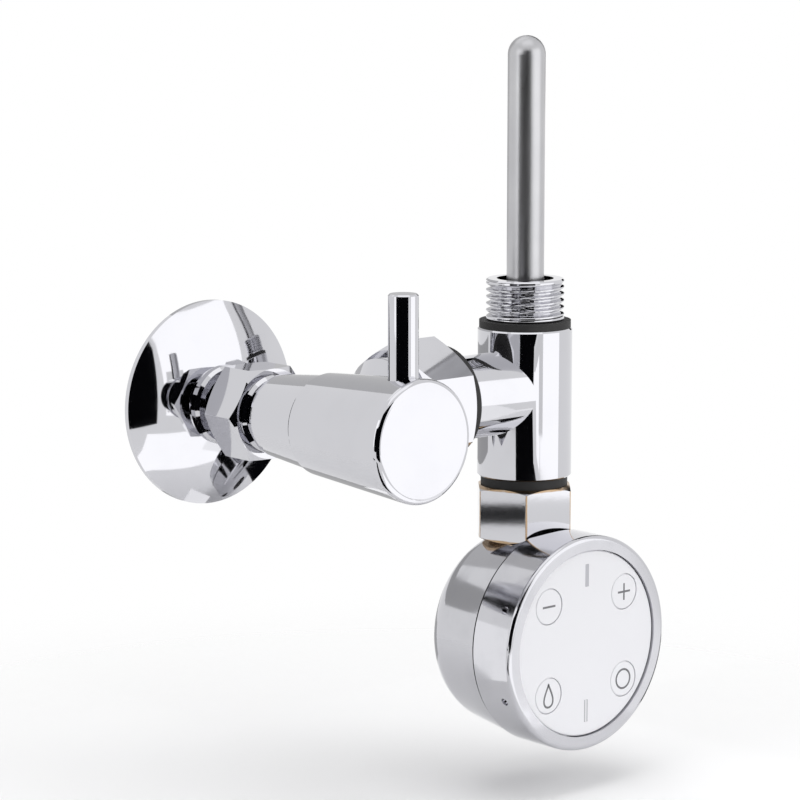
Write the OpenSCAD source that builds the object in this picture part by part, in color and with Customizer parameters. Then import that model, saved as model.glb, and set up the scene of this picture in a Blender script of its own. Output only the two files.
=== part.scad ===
// Dual-fuel radiator valve set: a lever-head corner valve, a union, a tee and a thermostatic heating element.
// X runs right along the wall, Y runs into the wall and Z is up. The pipe leaves the wall at the origin.
// Distances named _d0 and _d1 are measured from the wall into the room, so y = -distance.

/* [Supply pipe and wall rose] */
// Outside diameter of the supply pipe
pipe_od = 15; // [12:0.5:18]
// Wall of the supply pipe
pipe_wall = 0.7; // [0.5:0.1:1.2]
// Length of pipe behind the wall face
pipe_in_wall = 22; // [18:1:60]
// Distance of the push-fit groove from the pipe's far end
groove_set = 18; // [12:0.5:18]
// Diameter of the wall rose
rose_od = 53.5; // [46:0.5:70]
// Height of the rose from the wall
rose_h = 9; // [7:0.5:12]
// Sheet thickness of the rose
rose_wall = 1; // [0.6:0.1:1.4]
// Height of the rim of the rose
rose_rim = 1.4; // [1.2:0.1:2.5]
// Wall of the rose collar round the pipe
collar_wall = 2.6; // [1.5:0.1:4]
// Straight length of the rose collar
collar_len = 2.5; // [1:0.1:4]

/* [Compression joint] */
// Gap between the rose and the compression nut
nut_set = 6; // [2:0.5:15]
// Length of the compression nut
nut_len = 12; // [10:0.5:16]
// Floor of the compression nut, behind the olive
nut_floor = 3; // [2:0.25:4]
// Wall of the compression nut at its flats
nut_wall = 1.5; // [1:0.1:3]
// Radial thickness of the olive
olive_wall = 1.2; // [0.8:0.1:1.6]
// Length of the olive
olive_len = 5.5; // [4.5:0.25:7]
// Length of the olive's straight band
olive_band = 2.5; // [1.5:0.25:3.5]
// Wall of the valve's pipe spigot
spigot_wall = 1.3; // [1.2:0.1:2.5]

/* [Valve body] */
// Bare spigot between the compression nut and the body's shoulder
shoulder_gap = 3; // [2:0.25:6]
// Step from the spigot up to the body's shoulder
shoulder_step = 0.6; // [0.5:0.1:2]
// Depth of the pipe past the shoulder
pipe_stop = 1; // [0.5:0.25:3]
// Step from the pipe socket down to the waterway
stop_step = 1.5; // [1:0.1:2.5]
// Metal between the pipe's end and the chamber floor
seat_floor = 3; // [2:0.25:5]
// Height of the raised valve seat
seat_h = 1.2; // [0.8:0.1:2]
// Width of the raised valve seat
seat_wall = 1.4; // [1:0.1:2]
// Water gap round the valve seat
chamber_gap = 1.8; // [1.2:0.1:3]
// Height of the outlet axis over the chamber floor
outlet_rise = 6; // [5.5:0.25:8]
// Bore of the outlet
outlet_bore = 11; // [8:0.5:11]
// Wall of the outlet neck
neck_wall = 2.5; // [1.5:0.1:3.5]
// Wall of the body round the bonnet
body_wall = 2.2; // [2:0.1:5]

/* [Headwork] */
// Turns of the head from shut to open
head_turns = 2; // [1:0.25:3]
// Lead of the spindle thread
spindle_lead = 1.5; // [1:0.25:2]
// Diameter of the spindle
spindle_od = 8; // [6:0.5:9]
// Diameter of the spindle's drive end
drive_od = 7.2; // [5:0.2:8]
// Length of the spindle's drive end
drive_len = 13; // [9:0.5:16]
// Depth of the flat on the drive end
drive_flat = 0.6; // [0.3:0.1:1]
// Thickness of the plug washer
washer_t = 2.4; // [1.5:0.1:4]
// Thickness of the plug's flange
plug_flange_t = 1.8; // [1.5:0.1:3]
// Wall of the plug's hexagon round the spindle thread
plug_wall = 2; // [1.2:0.1:2.2]
// Thread of the spindle inside the plug when shut
plug_grip = 4.4; // [3:0.2:7]
// Length of the spindle bearing in the bonnet
bearing_len = 8; // [7:0.5:12]
// Step from the chamber out to the bonnet thread
bonnet_step = 0.8; // [0.5:0.1:1.5]
// Overhang of the bonnet flange
bonnet_flange = 1.2; // [1:0.1:2.5]
// Thickness of the bonnet flange
bonnet_flange_t = 2; // [1.5:0.1:3]
// Height of the bonnet's spanner hexagon
bonnet_hex_h = 4; // [3:0.25:5]
// Thickness of the bonnet seal
bonnet_seal_t = 1; // [0.6:0.1:2]
// Cord diameter of the spindle seals
stem_seal_cord = 1.8; // [1.4:0.1:2]
// Thickness of the spindle clip
clip_t = 0.9; // [0.6:0.1:1.4]

/* [Head and lever] */
// Wall of the head at its open end
head_wall = 1.4; // [1.2:0.1:3]
// Growth of the head's radius from back to front
head_flare = 2.5; // [0:0.1:5]
// Gap between the body and the head
head_gap = 0.6; // [0.4:0.1:2]
// Solid metal behind the head's front face
head_face = 7.4; // [6.5:0.1:12]
// Rounding of the head's front edge
head_round = 1.6; // [0.8:0.1:3]
// Radial thickness of the head's plastic insert
insert_wall = 4.2; // [3:0.1:5]
// Diameter of the lever pin
lever_od = 7.5; // [5:0.25:8]
// Length of the lever above the head
lever_len = 20.5; // [14:0.5:30]
// Distance of the lever from the head's front face
lever_set = 7.8; // [5.5:0.1:9]
// Depth of the lever's seat in the head
lever_seat = 1.5; // [1:0.1:2.5]
// Length of the lever's screwed spigot
lever_spigot = 4.5; // [3:0.1:5]
// Diameter of the grub screw
grub_od = 4; // [3:0.5:5]
// Length of the grub screw
grub_len = 10; // [7:0.5:10.5]

/* [Union] */
// Diameter of the union thread, three-quarter inch pipe thread
union_od = 26.44; // [24:0.02:30]
// Bare neck between the head and the union's cone
neck_len = 7.2; // [0:0.1:12]
// Length of the coned step up to the union thread
union_cone = 4.4; // [3:0.2:8]
// Length of the union thread
union_thread = 12; // [10:0.5:16]
// Overlap of the union nut on its thread
union_grip = 8.2; // [6:0.1:10]
// Wall of the union nut at its flats
union_wall = 1.68; // [1:0.02:4]
// Thickness of the union seal
union_seal_t = 1.5; // [1:0.1:3]
// Thickness of the tail's collar
tail_collar_t = 3.5; // [2.5:0.1:5]
// Thickness of the union nut's lip
union_lip = 3; // [2:0.1:4]
// Bare length of the tail between the nut and the tee
tail_bare = 1; // [0.5:0.25:12]
// Diameter of the tail thread, three-eighth inch pipe thread
tail_od = 16.66; // [15:0.02:18]
// Length of the tail thread
tail_thread = 11; // [8:0.5:12]
// Shoulder of the tail outside its thread
tail_step = 2.1; // [1.5:0.1:2.4]
// Thickness of the tail seal
tail_seal_t = 1.2; // [0.8:0.1:3]

/* [Tee] */
// Length of the tee's branch from its mouth to the upright axis
tee_reach = 29.2; // [27:0.2:50]
// Diameter of the radiator thread, half inch pipe thread
radiator_od = 20.96; // [20:0.02:22]
// Length of the radiator thread
radiator_thread = 11; // [8:0.5:18]
// Wall of the tee outside its lower thread
tee_wall = 2.1; // [1.5:0.1:4]
// Wall of the branch outside the tail thread
branch_wall = 2.6; // [2:0.1:3.8]
// Rise of the tee above its branch
tee_rise = 5.95; // [3:0.05:12]
// Drop of the tee below its branch
tee_drop = 12; // [11.5:0.1:20]
// Depth of the tee's lower thread
socket_depth = 12; // [11:0.5:13]
// Thickness of the radiator seal
radiator_seal_t = 2; // [1:0.1:3]

/* [Heating element] */
// Thickness of the element seal
element_seal_t = 2.5; // [1.5:0.1:4]
// Width of the element's spanner hexagon across its flats
hex_af = 24.4; // [23.4:0.2:28]
// Height of the element's spanner hexagon
hex_h = 14.5; // [10:0.5:20]
// Turn of the spanner hexagon about the upright axis
hex_turn = 49; // [0:1:60]
// Length of the element's thread in the tee
element_thread = 10.5; // [8:0.5:11]
// Diameter of the heating rod
rod_od = 10; // [8:0.5:11]
// Length of the heating rod above the element seal
rod_len = 120; // [90:5:600]
// Wall of the heating rod's sheath
rod_wall = 0.7; // [0.5:0.1:1]
// Water gap round the heating rod inside the tee
water_gap = 2.6; // [1.5:0.1:3.5]
// Diameter of the element's stub inside the controller
stub_od = 12; // [11:0.5:14]
// Length of the stub below the spanner hexagon
stub_len = 9; // [8.5:0.25:10]

/* [Controller] */
// Diameter of the controller's front
drum_od = 58; // [57:0.5:72]
// Reduction of the radius from the seam to the back
drum_taper = 3; // [0:0.1:4]
// Distance of the controller's axis below the spanner hexagon
drum_drop = 25.5; // [23.5:0.25:26.5]
// Depth of the controller behind the upright axis
drum_behind = 12; // [12:0.25:16]
// Rounding of the controller's back edge
back_round = 9; // [4:0.25:9.5]
// Wall of both casings
shell_wall = 2; // [1.4:0.1:2.5]
// Distance of the seam in front of the upright axis
seam_set = 11; // [9:0.25:11]
// Thickness of the gasket in the seam
gasket_t = 0.8; // [0.5:0.1:1.5]
// Depth of the gasket below the casing's surface
gasket_sink = 0.6; // [0.3:0.1:1]
// Width of the bezel seen from the front
bezel_w = 3.8; // [3:0.1:4.6]
// Thickness of the bezel
bezel_h = 2.4; // [1.8:0.1:3]
// Rounding of the bezel's outer edge
bezel_round = 1.2; // [0.6:0.1:1.6]
// Depth of the face below the bezel's front
face_sink = 0.6; // [0.2:0.1:1]
// Thickness of the face panel
face_t = 2.7; // [2:0.1:3.5]
// Diameter of a key
key_od = 9.6; // [7:0.2:10]
// Angle of the keys above and below the horizontal
key_angle = 40.6; // [34:0.2:50]
// Face left between a key and the panel's rim
key_margin = 1.8; // [1.6:0.1:4]
// Travel of a key
key_travel = 0.4; // [0.2:0.05:0.6]
// Overhang of the flange behind a key
key_flange = 0.8; // [0.5:0.1:1]
// Length of a light guide
guide_len = 6; // [3:0.25:7]
// Width of a light guide
guide_w = 1.2; // [0.8:0.1:2]
// Diameter of the cable inlet's bore
cable_bore = 6.8; // [5:0.2:7.4]

/* [Hidden] */
$fn = 96;
// Radial gap of a screwed joint, drawn as plain cylinders
thread_gap = 0.1;
// Radial gap of a shaft that turns or slides in its hole
run_gap = 0.06;
// Radial gap of a pressed or snapped joint
press_gap = 0.05;
// Gap between parts that are only placed beside each other
part_gap = 0.1;
// Gap between parts that move past each other
move_gap = 0.5;
// Gap between the washer and the seat when shut
seat_gap = 0.1;
// Chamfer on turned edges, and the smaller one on pins and screws
edge = 0.8;
edge_small = 0.4;
// Overrun of a cut past the face it opens
over = 1;
hex_corner = 1 / cos(30);

pipe_r = pipe_od / 2;
pipe_groove_depth = 0.3;
pipe_groove_w = 2;
rose_r = rose_od / 2;
rose_gap = 0.3;
collar_r = pipe_r + rose_gap + collar_wall;
// The rose is part of a ball that passes through its rim and the foot of its collar
rose_shoulder = rose_h - collar_len;
rose_ball_z = (pow(rose_r, 2) + pow(rose_rim, 2) - pow(collar_r, 2) - pow(rose_shoulder, 2))
    / (2 * (rose_rim - rose_shoulder));
rose_ball_r = sqrt(pow(rose_r, 2) + pow(rose_rim - rose_ball_z, 2));

spigot_r = pipe_r + olive_wall + spigot_wall;
nut_af = 2 * (spigot_r + thread_gap + nut_wall);
nut_d0 = rose_h + nut_set;
nut_d1 = nut_d0 + nut_len;
olive_d0 = nut_d0 + nut_floor;
olive_tip = 0.4;
olive_cone = olive_len - olive_band;
spigot_d0 = olive_d0 + olive_band + part_gap;

body_d0 = nut_d1 + shoulder_gap;
body_back_r = spigot_r + shoulder_step;
pipe_d1 = body_d0 + pipe_stop;
waterway_r = pipe_r - stop_step;
chamber_d0 = pipe_d1 + seat_floor;
seat_d1 = chamber_d0 + seat_h;
seat_r = waterway_r + seat_wall;
chamber_r = seat_r + chamber_gap;
outlet_d = chamber_d0 + outlet_rise;
outlet_r = outlet_bore / 2;
neck_r = outlet_r + neck_wall;
body_lip = 0.5;
body_d1 = outlet_d + neck_r + body_lip;

lift = head_turns * spindle_lead;
spindle_r = spindle_od / 2;
drive_r = drive_od / 2;
washer_d0 = seat_d1 + seat_gap;
washer_r = seat_r + part_gap + (chamber_gap - part_gap) / 3;
washer_hole_r = 2;
plug_d0 = washer_d0 + washer_t;
stem_d0 = plug_d0 + plug_flange_t;
stem_d1 = stem_d0 + plug_grip + lift + part_gap;
plug_af = 2 * (spindle_r + plug_wall);
spindle_d0 = stem_d1 - plug_grip;
plug_bore_d0 = spindle_d0 - lift - move_gap / 2;
bonnet_r = chamber_r + bonnet_step;
bonnet_d0 = stem_d0 + lift + move_gap;
bonnet_seal_d1 = body_d1 + bonnet_seal_t;
bonnet_flange_r = bonnet_r + bonnet_flange;
bonnet_hex_d0 = bonnet_seal_d1 + bonnet_flange_t;
thrust_d0 = stem_d1 + lift + move_gap;
thrust_t = 2;
thrust_r = spindle_r + plug_wall - move_gap / 2;
cavity_d1 = thrust_d0 + thrust_t + part_gap;
bonnet_d1 = max(cavity_d1 + bearing_len, bonnet_hex_d0 + bonnet_hex_h + edge);
bonnet_wall = 3;
stem_seal_r = stem_seal_cord / 2;
stem_seal_set = (bonnet_d1 - cavity_d1) / 3;
clip_gap = 0.2;
clip_d0 = bonnet_d1 + clip_gap;
clip_w = 2;
groove_depth = 0.8;
drive_d0 = clip_d0 + clip_t + edge;
drive_d1 = drive_d0 + drive_len;

body_front_r = bonnet_r + thread_gap + body_wall;
insert_r = drive_r + run_gap + insert_wall;
insert_d0 = drive_d0 + part_gap;
insert_floor = 1.5;
insert_d1 = drive_d1 + move_gap + insert_floor;
head_d0 = body_d1 + head_gap;
head_d1 = insert_d1 + part_gap + head_face;
head_clear = 0.4;
head_cavity_r = bonnet_flange_r + head_clear;
head_back_r = head_cavity_r + head_wall;
head_front_r = head_back_r + head_flare;
lever_d = head_d1 - lever_set;
lever_r = lever_od / 2;
lever_root = head_back_r + head_flare * (lever_d - head_d0) / (head_d1 - head_d0);
lever_neck = 0.6;
grub_d = (drive_d0 + drive_d1) / 2;
grub_r = grub_od / 2;
grub_tip = drive_r - drive_flat + part_gap;
grub_socket = 2;

union_r = union_od / 2;
union_af = 2 * (union_r + thread_gap + union_wall);
cone_x0 = head_back_r + move_gap + neck_len;
cone_x1 = cone_x0 + union_cone;
outlet_x1 = cone_x1 + union_thread;
union_x0 = outlet_x1 - union_grip;
collar_x0 = outlet_x1 + union_seal_t;
collar_x1 = collar_x0 + tail_collar_t;
union_x1 = collar_x1 + union_lip;
tail_x1 = union_x1 + tail_bare;
tail_r = tail_od / 2;
tail_tube_r = tail_r + tail_step;
tail_collar_r = union_r - move_gap;
lip_gap = 0.2;

mouth_x = tail_x1 + tail_seal_t;
tee_x = mouth_x + tee_reach;
branch_r = tail_r + thread_gap + branch_wall;
radiator_r = radiator_od / 2;
tee_r = radiator_r + thread_gap + tee_wall;
tee_z0 = -branch_r - tee_drop;
tee_z1 = branch_r + tee_rise;
rod_r = rod_od / 2;
tee_bore_r = rod_r + water_gap;
undercut_depth = 1;
undercut_h = radiator_seal_t + part_gap;
thread_z0 = tee_z1 + undercut_h;
thread_top = thread_z0 + radiator_thread;

element_z = tee_z0 - element_seal_t;
hex_z = element_z - hex_h;
seal_inset = 1;
neck_seal_w = 1.4;
stub_r = stub_od / 2;
lead_bore_r = 3.4;
stub_floor = 5;
element_clip_t = 1;
element_clip_w = 2.2;
rod_z0 = hex_z + hex_h / 2;
rod_z1 = element_z + rod_len;
core_gap = 0.1;
core_r = rod_r - rod_wall - core_gap;
// Clear length of the sheath below the core, and its solid end above the core
sheath_mouth = 4;
sheath_end = 3;
core_z0 = rod_z0 + sheath_mouth;
core_z1 = rod_z1 - rod_r - sheath_end;
probe_r = 0.8;
probe_set = core_r / 2;
probe_sink = 6;
pin_r = 0.8;
pin_set = 1.7;
pin_grip = 8;

drum_r = drum_od / 2;
drum_z = hex_z - drum_drop;
drum_d0 = outlet_d - drum_behind;
seam_d = outlet_d + seam_set;
rear_d1 = seam_d - gasket_t / 2;
front_d0 = seam_d + gasket_t / 2;
seam_step = 0.4;
seam_r = drum_r - seam_step;
cavity_r = seam_r - shell_wall;
cavity_h = rear_d1 - drum_d0 - shell_wall;
cavity_edge = back_round - shell_wall;
pocket_gap = 0.3;
pocket_r = hex_af / 2 * hex_corner + pocket_gap;
pocket_wall = 1.5;
neck_block_r = pocket_r + pocket_wall;
neck_block_z = hex_z - stub_floor;
clip_groove_z = neck_block_z - part_gap - element_clip_t;
clip_room = 0.4;

board_t = 1.6;
board_d0 = outlet_d + neck_block_r + move_gap;
board_d1 = board_d0 + board_t;
switch_side = 4.5;
switch_h = 1.6;
plunger_h = 0.7;
plunger_r = 1.2;
key_d0 = board_d1 + switch_h + plunger_h + key_travel + part_gap;
key_flange_t = 0.8;
face_d0 = key_d0 + key_flange_t + part_gap;
face_d1 = face_d0 + face_t;
drum_d1 = face_d1 + face_sink;
bezel_d0 = drum_d1 - bezel_h;
bezel_r = drum_r - bezel_w;
face_gap = 0.15;
face_r = bezel_r - face_gap;
casing_r = drum_r - shell_wall;
ledge_w = 0.7;
ledge_t = 0.8;
key_r = key_od / 2;
key_gap = 0.12;
key_circle = face_r - key_r - key_margin;
key_corner = 0.3;
board_gap = 0.4;
board_r = casing_r - board_gap;
rib_w = 2.4;
rib_t = 1;
guide_lift = 0.9;
guide_gap = 0.05;
clip_dot_r = 1.1;
clip_dot_depth = 0.9;
clip_dot_angle = 25;
clip_dot_set = 2;
clip_dot_d = bezel_d0 - clip_dot_set;

screw_inset = 7.5;
screw_circle = drum_r - screw_inset;
screw_r = 1.4;
screw_gap = 0.2;
screw_head_r = 2.5;
screw_head_t = 2;
screw_post_r = 3.6;
screw_bite = 4;
screw_head_set = 6;
screw_head_d = rear_d1 - screw_head_set;
screw_slot = 0.8;
screw_slot_len = 3;
web_t = 3;
screw_angles = [45, 135, 225, 315];

small_screw_r = 0.9;
small_head_r = 1.7;
small_head_t = 1.1;
small_bite = 2.4;
small_post_r = 1.8;
small_angles = [0, 120, 240];
small_circle = board_r - rib_w - small_post_r / 2;

power_w = 30;
power_h = 18;
power_t = 1.6;
power_z = -1;
power_set = 3.6;
power_d0 = rear_d1 - power_set;
power_inset = 3;
power_post_x = power_w / 2 - power_inset;
power_post_y = power_h / 2 - power_inset;
power_post_r = 2;
relay_size = [10, 11, 10];
relay_at = [-4.5, -3];
relay_step = 0.5;
block_size = [7, 11, 8];
block_at = [6, -3];
block_hole_r = 1.2;
blade_t = 0.8;
blade_h = 4;

bush_y = -10;
bush_wall = 1.5;
bush_r = cable_bore / 2 + bush_wall;
bush_gap = 0.1;
bush_flange = 1.1;
bush_flange_t = 1.2;
bush_lip = 0.6;

// Places: the pipe axis into the room, the outlet axis to the right, and the tee's and controller's axes
module from_wall(d = 0) translate([0, -d, 0]) rotate([90, 0, 0]) children();
module to_right(x = 0) translate([x, -outlet_d, 0]) rotate([0, 90, 0]) children();
module on_tee(z = 0) translate([tee_x, -outlet_d, z]) children();
module on_drum(d = 0) translate([tee_x, -d, drum_z]) rotate([90, 0, 0]) children();

// A round hole of a given depth that runs past the face it opens at both ends
module hole(r, h) translate([0, 0, -over]) cylinder(r = r, h = h + 2 * over);

module ring(r_out, r_in, h) difference() {
    cylinder(r = r_out, h = h);
    hole(r_in, h);
}

// A turned cylinder with a chamfer at each end
module turned(r, h, c = edge) rotate_extrude()
    polygon([[0, 0], [r - c, 0], [r, c], [r, h - c], [r - c, h], [0, h]]);

module o_ring(r_in, cord_r) rotate_extrude() translate([r_in + cord_r, 0]) circle(cord_r);

// A spanner hexagon with its corners turned off at both ends
module hexagon(af, h) {
    corner_r = af / 2 * hex_corner;
    wide_r = corner_r + edge_small;
    drop = (wide_r - af / 2) * tan(30);
    intersection() {
        cylinder(r = corner_r, h = h, $fn = 6);
        rotate_extrude()
            polygon([[0, 0], [af / 2, 0], [wide_r, drop], [wide_r, h - drop], [af / 2, h], [0, h]]);
    }
}

// Half outline of a cone from radius r0 to r1 over h, with a tangent rounding f at the far edge
module rounded_cone(r0, r1, h, f) {
    k = (r1 - r0) / h;
    s = sqrt(1 + k * k);
    centre_r = r0 + k * (h - f) - f * s;
    tangent = [centre_r + f / s, h - f - f * k / s];
    polygon([[0, 0], [r0, 0], tangent, [centre_r, h - f], [centre_r, h], [0, h]]);
    translate([centre_r, h - f]) intersection() {
        circle(f);
        translate([0, -f]) square([f, 2 * f]);
    }
}

// The plain round cover on the wall: a shallow ball-shaped dome, a rim and a collar round the pipe
module wall_rose() color("gainsboro") from_wall() rotate_extrude() difference() {
    union() {
        intersection() {
            translate([0, rose_ball_z]) circle(rose_ball_r);
            square([rose_r, rose_h]);
        }
        polygon([[0, 0], [collar_r, 0], [collar_r, rose_h - edge], [collar_r - edge, rose_h], [0, rose_h]]);
    }
    intersection() {
        translate([0, rose_ball_z]) circle(rose_ball_r - rose_wall);
        translate([collar_r, -over]) square([rose_r - rose_wall - collar_r, rose_h]);
    }
    translate([0, -over]) square([pipe_r + rose_gap, rose_h + 2 * over]);
}

// The pipe has a shallow groove near its far end, which a push-fit joint grips
module supply_pipe() color("gainsboro") from_wall(-pipe_in_wall) difference() {
    ring(pipe_r, pipe_r - pipe_wall, pipe_in_wall + pipe_d1 - part_gap);
    translate([0, 0, groove_set]) ring(pipe_r + over, pipe_r - pipe_groove_depth, pipe_groove_w);
}

module compression_nut() color("gainsboro") from_wall(nut_d0) difference() {
    hexagon(nut_af, nut_len);
    hole(pipe_r + part_gap, nut_floor);
    translate([0, 0, nut_floor]) cylinder(r = spigot_r + thread_gap, h = nut_len);
}

module olive() color("goldenrod") from_wall(olive_d0) rotate_extrude() polygon([
    [pipe_r + press_gap, 0], [pipe_r + olive_wall, 0], [pipe_r + olive_wall, olive_band],
    [pipe_r + olive_tip, olive_len], [pipe_r + press_gap, olive_len]]);

// The corner body: spigot for the pipe, shoulder, seat and chamber, and the outlet neck to the right
module valve_body() color("gainsboro") difference() {
    union() {
        from_wall() rotate_extrude() polygon([
            [0, spigot_d0], [spigot_r - edge_small, spigot_d0], [spigot_r, spigot_d0 + edge_small],
            [spigot_r, nut_d1], [spigot_r - edge, nut_d1 + edge], [spigot_r - edge, body_d0],
            [body_back_r - edge, body_d0], [body_back_r, body_d0 + edge],
            [body_front_r, body_d1 - edge_small], [body_front_r - edge_small, body_d1], [0, body_d1]]);
        to_right() rotate_extrude() polygon([
            [0, 0], [neck_r, 0], [neck_r, cone_x0], [union_r, cone_x1], [union_r, outlet_x1 - edge],
            [union_r - edge, outlet_x1], [0, outlet_x1]]);
    }
    from_wall(spigot_d0) cylinder(r = pipe_r + part_gap, h = pipe_d1 - spigot_d0);
    from_wall(spigot_d0) translate([0, 0, -part_gap])
        cylinder(r1 = pipe_r + olive_wall + part_gap, r2 = pipe_r + olive_tip + part_gap,
            h = olive_cone + 2 * part_gap);
    from_wall(spigot_d0 - over) cylinder(r = pipe_r + part_gap, h = 2 * over);
    from_wall(pipe_d1 - over) cylinder(r = waterway_r, h = seat_d1 - pipe_d1 + 2 * over);
    from_wall(chamber_d0) difference() {
        cylinder(r = chamber_r, h = body_d1 - chamber_d0);
        translate([0, 0, -over]) cylinder(r = seat_r, h = seat_h + over);
    }
    from_wall(bonnet_d0 - move_gap) cylinder(r = bonnet_r + thread_gap, h = body_d1 - bonnet_d0 + 2 * over);
    to_right(seat_r + part_gap) cylinder(r = outlet_r, h = outlet_x1);
}

// The plug rides on the spindle thread and slides in the bonnet's hexagon, so it lifts without turning
module plug() color("goldenrod") from_wall() difference() {
    union() {
        translate([0, 0, washer_d0 + edge_small]) cylinder(r = washer_hole_r - run_gap, h = washer_t);
        translate([0, 0, plug_d0]) turned(washer_r, plug_flange_t, edge_small);
        translate([0, 0, stem_d0 - edge_small])
            cylinder(d = plug_af * hex_corner, h = stem_d1 - stem_d0 + edge_small, $fn = 6);
    }
    translate([0, 0, plug_bore_d0]) cylinder(r = spindle_r + run_gap, h = stem_d1);
}

module plug_washer() color("dimgray") from_wall(washer_d0) difference() {
    turned(washer_r, washer_t, edge_small);
    hole(washer_hole_r, washer_t);
}

module bonnet() color("goldenrod") from_wall() difference() {
    union() {
        translate([0, 0, bonnet_d0]) cylinder(r = bonnet_r, h = bonnet_seal_d1 + bonnet_flange_t - bonnet_d0);
        translate([0, 0, bonnet_seal_d1]) cylinder(r = bonnet_flange_r, h = bonnet_flange_t);
        translate([0, 0, bonnet_hex_d0]) cylinder(r = bonnet_flange_r - part_gap, h = bonnet_hex_h, $fn = 6);
        translate([0, 0, bonnet_hex_d0]) cylinder(r = spindle_r + bonnet_wall, h = bonnet_d1 - bonnet_hex_d0);
    }
    translate([0, 0, bonnet_d0 - over])
        cylinder(d = (plug_af + 2 * part_gap) * hex_corner, h = cavity_d1 - bonnet_d0 + over, $fn = 6);
    translate([0, 0, cavity_d1]) hole(spindle_r + run_gap, bonnet_d1 - cavity_d1);
}

module bonnet_seal() color("dimgray") from_wall(body_d1)
    ring(bonnet_flange_r, bonnet_r + thread_gap, bonnet_seal_t);

module spindle() color("goldenrod") from_wall() difference() {
    union() {
        translate([0, 0, spindle_d0]) turned(spindle_r, drive_d0 - spindle_d0, edge_small);
        translate([0, 0, thrust_d0]) cylinder(r = thrust_r, h = thrust_t);
        translate([0, 0, drive_d0 - edge]) turned(drive_r, drive_len + edge, edge_small);
    }
    for (i = [1, 2]) translate([0, 0, cavity_d1 + i * stem_seal_set - stem_seal_r - part_gap])
        ring(spindle_r + over, spindle_r - 2 * stem_seal_r + run_gap, 2 * (stem_seal_r + part_gap));
    translate([0, 0, clip_d0]) ring(spindle_r + over, spindle_r - groove_depth, clip_t);
    translate([-drive_r, -drive_r, drive_d0]) cube([2 * drive_r, drive_flat, drive_len + over]);
}

module spindle_seals() color("dimgray") from_wall() for (i = [1, 2])
    translate([0, 0, cavity_d1 + i * stem_seal_set])
        o_ring(spindle_r - 2 * stem_seal_r + run_gap, stem_seal_r - run_gap / 2);

// A spring clip with an open side, snapped into the spindle's groove
module spindle_clip() color("silver") from_wall(clip_d0) difference() {
    ring(spindle_r + clip_w, spindle_r - groove_depth + press_gap, clip_t - run_gap);
    translate([-spindle_r / 2, 0, -over]) cube([spindle_r, spindle_r + clip_w + over, clip_t + 2 * over]);
}

module drive_socket(h) difference() {
    cylinder(r = drive_r + run_gap, h = h);
    translate([-drive_r - over, -drive_r - over, -over])
        cube([2 * (drive_r + over), drive_flat + over - run_gap, h + 2 * over]);
}

module grub_hole() translate([0, -grub_tip + over, grub_d]) rotate([90, 0, 0])
    cylinder(r = grub_r + run_gap, h = head_front_r + over);

module head_insert() color("ivory") from_wall() difference() {
    translate([0, 0, insert_d0]) turned(insert_r, insert_d1 - insert_d0, edge_small);
    translate([0, 0, insert_d0 - over]) drive_socket(drive_d1 + move_gap - insert_d0 + over);
    grub_hole();
}

// The flared head: a thick casting with a hollow back, a rounded front edge and the lever's seat on top
module head_cap() color("gainsboro") from_wall() difference() {
    translate([0, 0, head_d0]) rotate_extrude()
        rounded_cone(head_back_r, head_front_r, head_d1 - head_d0, head_round);
    translate([0, 0, head_d0 - over]) cylinder(r = head_cavity_r, h = insert_d0 - head_d0 + over);
    translate([0, 0, insert_d0 - over])
        cylinder(r = insert_r + run_gap, h = insert_d1 + part_gap - insert_d0 + over);
    translate([0, lever_root - lever_seat, lever_d]) rotate([-90, 0, 0]) {
        cylinder(r = lever_r + run_gap, h = lever_seat + head_flare + over);
        translate([0, 0, -lever_spigot - part_gap])
            cylinder(r = lever_r - lever_neck + run_gap, h = lever_spigot + lever_seat);
    }
    grub_hole();
}

module at_lever() from_wall() translate([0, lever_root - lever_seat, lever_d]) rotate([-90, 0, 0]) children();

module lever_pin() color("gainsboro") at_lever() {
    rotate_extrude() polygon([[0, 0], [lever_r, 0], [lever_r, lever_seat + lever_len - edge_small],
        [lever_r - edge_small, lever_seat + lever_len], [0, lever_seat + lever_len]]);
    translate([0, 0, -lever_spigot]) cylinder(r = lever_r - lever_neck, h = lever_spigot + edge_small);
}

module at_grub() from_wall() translate([0, -grub_tip, grub_d]) rotate([90, 0, 0]) children();

module grub_screw() color("dimgray") at_grub() difference() {
    turned(grub_r, grub_len, edge_small);
    translate([0, 0, grub_len - grub_socket]) cylinder(r = grub_r / 2, h = grub_socket + over, $fn = 6);
}

module union_nut() color("gainsboro") to_right(union_x0) difference() {
    hexagon(union_af, union_x1 - union_x0);
    translate([0, 0, -over]) cylinder(r = union_r + thread_gap, h = collar_x1 - union_x0 + over);
    hole(tail_tube_r + lip_gap, union_x1 - union_x0);
}

module union_seal() color("dimgray") to_right(outlet_x1) ring(tail_collar_r, outlet_r, union_seal_t);

module union_tail() color("gainsboro") to_right() difference() {
    union() {
        translate([0, 0, collar_x0]) turned(tail_collar_r, tail_collar_t, edge_small);
        translate([0, 0, collar_x0 + edge_small])
            cylinder(r = tail_tube_r, h = tail_x1 - collar_x0 - edge_small);
        translate([0, 0, collar_x1]) turned(tail_r, tail_x1 + tail_thread - collar_x1, edge);
    }
    translate([0, 0, collar_x0]) hole(outlet_r, tail_x1 + tail_thread - collar_x0);
}

module tail_seal() color("dimgray") to_right(tail_x1)
    ring(tail_tube_r - edge_small, tail_r + part_gap, tail_seal_t);

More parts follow.
